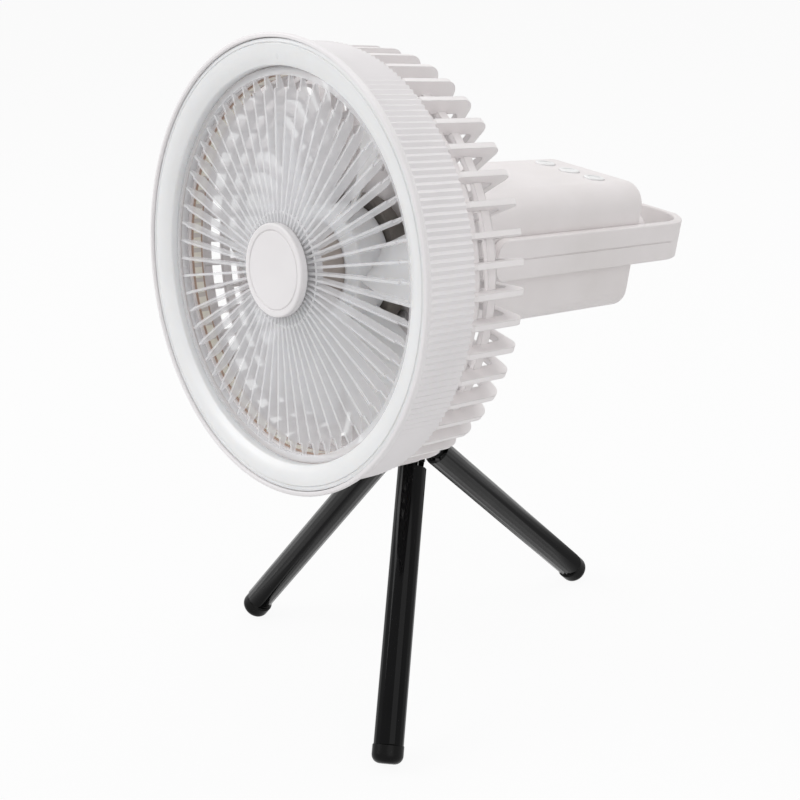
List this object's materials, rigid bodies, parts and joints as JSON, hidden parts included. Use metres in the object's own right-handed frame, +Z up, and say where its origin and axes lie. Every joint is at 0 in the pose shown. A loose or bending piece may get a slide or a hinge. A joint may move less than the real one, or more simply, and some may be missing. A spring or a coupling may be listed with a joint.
{
  "type": "portable camping fan",
  "caption": "Battery fan on a folding tripod: ridged ring with a light face, clear ribbed grille, finned cage, rear battery box with a swing handle",
  "frame": {"origin": "middle of the bounding box, on the floor under the feet", "axes": "+Z up; the fan faces -Y and leans back a few degrees; the battery box and handle point to +Y"},
  "size_m": [0.21, 0.2654, 0.3323],
  "materials": {
    "ridged_ring": "fine satin moulding",
    "light_diffuser": "opal, smooth",
    "led_board": "bare board with copper-coloured edge",
    "led_chips": "gloss",
    "front_grille": "clear polycarbonate, polished",
    "hub_cap": "satin",
    "rear_cage": "satin",
    "cage_screws": "zinc plated",
    "motor_base": "dark moulding and lamination",
    "motor_bearings": "ground",
    "motor_shaft": "ground",
    "rotor_magnet": "bonded ferrite, matt",
    "motor_can": "dark coating",
    "light_strip": "copper-brown strip on the duct wall",
    "fan_rotor": "smooth, slightly translucent",
    "box_shell": "fine satin moulding",
    "bottom_cover": "satin",
    "cover_screws": "zinc plated",
    "battery_cells": "plastic sleeve over a metal can",
    "control_board": "bare board",
    "button_left": "satin",
    "button_middle": "satin",
    "button_right": "satin",
    "usb_c_port": "drawn and nickel plated",
    "port_bezel": "satin",
    "tripod_nut": "turned",
    "handle": "fine satin moulding",
    "handle_pins": "turned",
    "mount_plate": "black anodised",
    "ball_stem": "plated",
    "ball_socket": "black anodised",
    "lock_knob": "matt",
    "leg_hub": "satin",
    "leg_pins": "turned",
    "leg_front": "gloss black moulding",
    "foot_front": "moulded rubber",
    "leg_rear": "gloss black moulding",
    "foot_rear": "moulded rubber",
    "leg_left": "gloss black moulding",
    "foot_left": "moulded rubber"
  },
  "bodies": {
    "hub": {"leg_hub": "leg_hub", "leg_pins": "leg_pins"},
    "socket": {"ball_socket": "ball_socket"},
    "head": {"ridged_ring": "ridged_ring", "light_diffuser": "light_diffuser", "led_board": "led_board", "led_chips": "led_chips", "light_strip": "light_strip", "front_grille": "front_grille", "hub_cap": "hub_cap", "rear_cage": "rear_cage", "cage_screws": "cage_screws", "motor_base": "motor_base", "motor_bearings": "motor_bearings", "box_shell": "box_shell", "bottom_cover": "bottom_cover", "cover_screws": "cover_screws", "battery_cells": "battery_cells", "control_board": "control_board", "usb_c_port": "usb_c_port", "port_bezel": "port_bezel", "tripod_nut": "tripod_nut", "handle_pins": "handle_pins", "mount_plate": "mount_plate", "ball_stem": "ball_stem"},
    "rotor": {"fan_rotor": "fan_rotor", "motor_can": "motor_can", "rotor_magnet": "rotor_magnet", "motor_shaft": "motor_shaft"},
    "handle": {"handle": "handle"},
    "button_left": {"button_left": "button_left"},
    "button_middle": {"button_middle": "button_middle"},
    "button_right": {"button_right": "button_right"},
    "lock_knob": {"lock_knob": "lock_knob"},
    "leg_front": {"leg_front": "leg_front", "foot_front": "foot_front"},
    "leg_rear": {"leg_rear": "leg_rear", "foot_rear": "foot_rear"},
    "leg_left": {"leg_left": "leg_left", "foot_left": "foot_left"}
  },
  "joints": [
    {"name": "tripod_pan", "type": "hinge", "parent": "hub", "child": "socket", "pos_m": [-0.00117, -0.02824, 0.15765], "axis": [0.0991, 0.1483, 0.984], "continuous": true},
    {"name": "head_tilt", "type": "hinge", "parent": "socket", "child": "head", "pos_m": [0.00032, -0.02601, 0.17241], "axis": [0.9951, -0.0148, -0.098], "range_deg": [-15, 15]},
    {"name": "rotor_spin", "type": "hinge", "parent": "head", "child": "rotor", "pos_m": [0.00498, -0.0942, 0.22998], "axis": [0, -0.9888, 0.149], "continuous": true},
    {"name": "handle_swing", "type": "hinge", "parent": "head", "child": "handle", "pos_m": [0.00565, -0.01161, 0.22438], "axis": [0.9951, -0.0148, -0.098], "range_deg": [-45, 95]},
    {"name": "lock_turn", "type": "hinge", "parent": "socket", "child": "lock_knob", "pos_m": [0.00002, -0.0136, 0.16752], "axis": [0, 0.9888, -0.149], "range_deg": [-90, 90]},
    {"name": "press_left", "type": "slide", "parent": "head", "child": "button_left", "axis": [-0.0991, -0.1483, -0.984], "range_m": [0, 0.001], "stiffness_N_per_m": 400},
    {"name": "press_middle", "type": "slide", "parent": "head", "child": "button_middle", "axis": [-0.0991, -0.1483, -0.984], "range_m": [0, 0.001], "stiffness_N_per_m": 400},
    {"name": "press_right", "type": "slide", "parent": "head", "child": "button_right", "axis": [-0.0991, -0.1483, -0.984], "range_m": [0, 0.001], "stiffness_N_per_m": 400},
    {"name": "fold_front", "type": "hinge", "parent": "hub", "child": "leg_front", "pos_m": [0.00337, -0.04198, 0.11658], "axis": [-0.6462, -0.7423, 0.177], "range_deg": [-37.85, 18.15]},
    {"name": "fold_rear", "type": "hinge", "parent": "hub", "child": "leg_rear", "pos_m": [-0.00325, -0.02331, 0.11443], "axis": [0.9784, -0.1947, -0.0692], "range_deg": [-50.88, 5.12]},
    {"name": "fold_left", "type": "hinge", "parent": "hub", "child": "leg_left", "pos_m": [-0.01612, -0.0381, 0.11796], "axis": [-0.3322, 0.937, -0.1077], "range_deg": [-30.75, 25.25]}
  ]
}
